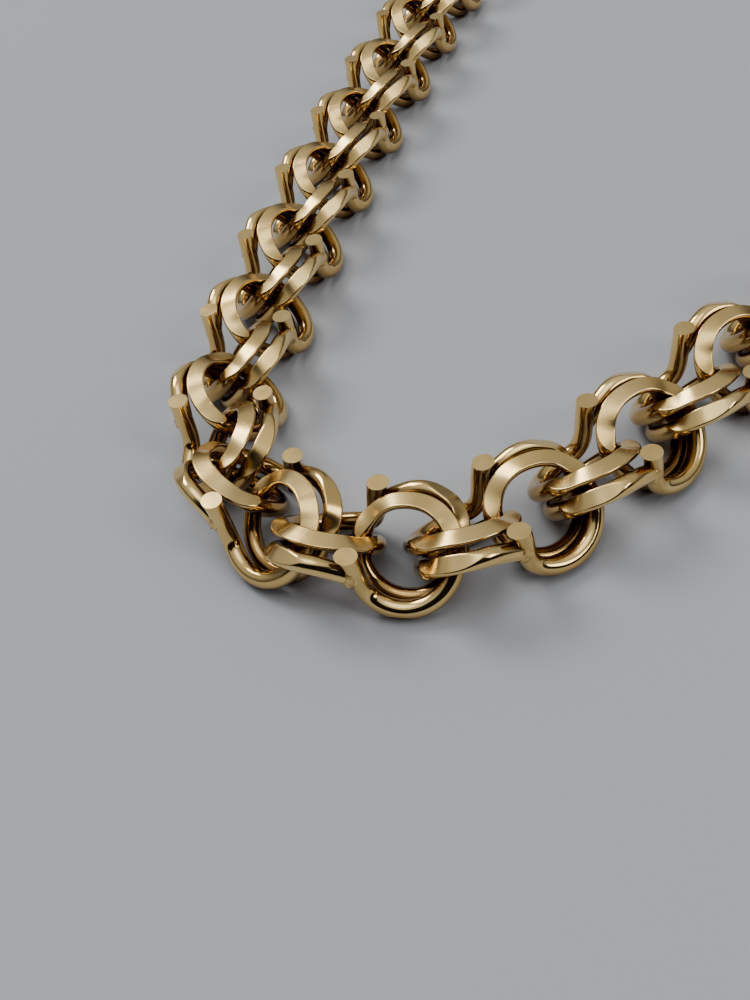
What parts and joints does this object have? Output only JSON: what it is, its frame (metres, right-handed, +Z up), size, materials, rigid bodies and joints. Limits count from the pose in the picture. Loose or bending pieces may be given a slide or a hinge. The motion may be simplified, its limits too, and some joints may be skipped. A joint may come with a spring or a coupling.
{
  "type": "double spiral link neck chain",
  "caption": "Gold neck chain laid out as a closed loop, of links made from pairs of soldered wire spirals that lean opposite ways, with a plain barrel clasp.",
  "frame": {"origin": "centre of the loop's bounding box, on the surface that the chain lies on", "axes": "+Z up; +Y from the loop's pointed front towards its round back; +X across the loop, towards the strand without the clasp"},
  "size_m": [0.0777, 0.2027, 0.0043],
  "materials": {
    "gold": "polished 14 carat yellow gold, ground faces"
  },
  "bodies": {
    "root": {"left_strand": "gold", "right_strand": "gold", "clasp": "gold"}
  },
  "joints": []
}
